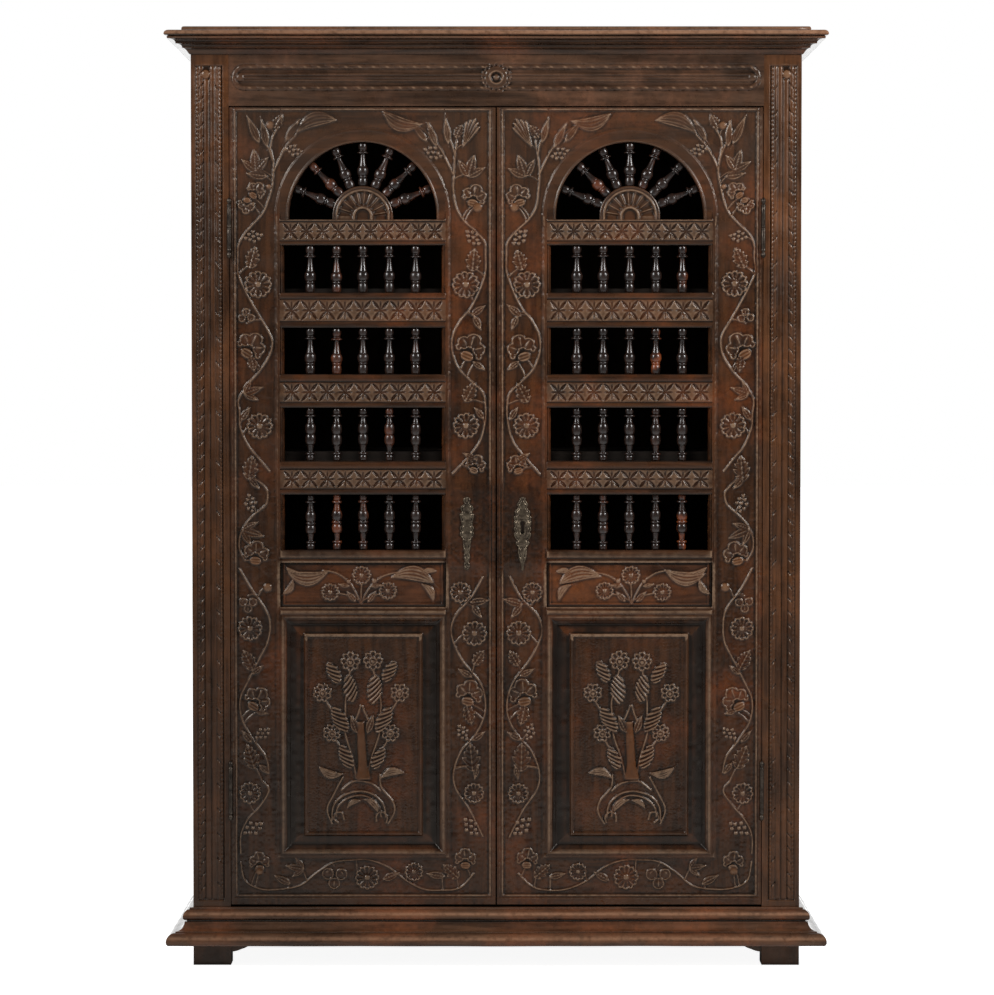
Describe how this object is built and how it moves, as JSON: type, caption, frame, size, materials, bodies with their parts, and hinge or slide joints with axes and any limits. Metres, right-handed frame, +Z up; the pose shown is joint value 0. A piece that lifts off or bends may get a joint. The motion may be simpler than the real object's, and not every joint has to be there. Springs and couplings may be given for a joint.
{
  "type": "carved armoire",
  "caption": "Tall two-door carved wooden armoire with arched turned-spindle galleries, raised lower panels, moulded cornice and base.",
  "frame": {"origin": "on the floor under the middle of the whole armoire", "axes": "+Z up, the doors face -Y, +X to the right as seen from the front"},
  "size_m": [1.397, 0.551, 2],
  "materials": {
    "case_wood": "worn waxed dark brown",
    "door_wood": "waxed near-black brown, carved",
    "turned_wood": "waxed dark brown, turned",
    "inner_wood": "unpolished dark brown",
    "hinge_iron": "dark polished iron",
    "escutcheon_brass": "tarnished"
  },
  "bodies": {
    "case": {"front_post_left": "case_wood", "front_post_right": "case_wood", "rear_post_left": "case_wood", "rear_post_right": "case_wood", "frieze_rail": "case_wood", "front_bottom_rail": "case_wood", "foot_brackets": "case_wood", "side_rails": "case_wood", "side_panels": "case_wood", "back_rails": "inner_wood", "back_boards": "inner_wood", "bottom_board": "inner_wood", "top_board": "case_wood", "cornice_front": "case_wood", "cornice_returns": "case_wood", "base_moulding_front": "case_wood", "base_moulding_returns": "case_wood", "shelves": "inner_wood", "shelf_cleats": "inner_wood", "door_stop_strip": "inner_wood", "case_hinge_knuckles": "hinge_iron", "hinge_pins": "hinge_iron"},
    "left_door": {"left_door_hinge_stile": "door_wood", "left_door_lock_stile": "door_wood", "left_door_arch_head": "door_wood", "left_door_gallery_rails": "door_wood", "left_door_gallery_spindles": "turned_wood", "left_door_fan_hub": "door_wood", "left_door_fan_spindles": "turned_wood", "left_door_sill_rail": "door_wood", "left_door_frieze_panel": "door_wood", "left_door_panel_rail": "door_wood", "left_door_panel_moulding": "door_wood", "left_door_lower_panel": "door_wood", "left_door_bottom_rail": "door_wood", "left_door_hinge_knuckles": "hinge_iron", "left_door_escutcheon": "escutcheon_brass", "lock_keeper": "hinge_iron", "bolt_guides": "hinge_iron"},
    "right_door": {"right_door_hinge_stile": "door_wood", "right_door_lock_stile": "door_wood", "right_door_arch_head": "door_wood", "right_door_gallery_rails": "door_wood", "right_door_gallery_spindles": "turned_wood", "right_door_fan_hub": "door_wood", "right_door_fan_spindles": "turned_wood", "right_door_sill_rail": "door_wood", "right_door_frieze_panel": "door_wood", "right_door_panel_rail": "door_wood", "right_door_panel_moulding": "door_wood", "right_door_lower_panel": "door_wood", "right_door_bottom_rail": "door_wood", "right_door_hinge_knuckles": "hinge_iron", "right_door_escutcheon": "escutcheon_brass", "lock_case": "hinge_iron"},
    "lock_bolt": {"lock_bolt": "hinge_iron"},
    "upper_bolt": {"upper_bolt": "hinge_iron"},
    "lower_bolt": {"lower_bolt": "hinge_iron"}
  },
  "joints": [
    {"name": "left_door_hinge", "type": "hinge", "parent": "case", "child": "left_door", "pos_m": [-0.56675, -0.2295, 0.374], "axis": [0, 0, -1], "range_deg": [0, 165]},
    {"name": "right_door_hinge", "type": "hinge", "parent": "case", "child": "right_door", "pos_m": [0.56675, -0.2295, 0.374], "axis": [0, 0, 1], "range_deg": [0, 165]},
    {"name": "lock_bolt_slide", "type": "slide", "parent": "right_door", "child": "lock_bolt", "axis": [-1, 0, 0], "range_m": [0, 0.018]},
    {"name": "upper_bolt_slide", "type": "slide", "parent": "left_door", "child": "upper_bolt", "axis": [0, 0, 1], "range_m": [0, 0.02]},
    {"name": "lower_bolt_slide", "type": "slide", "parent": "left_door", "child": "lower_bolt", "axis": [0, 0, -1], "range_m": [0, 0.02]}
  ]
}
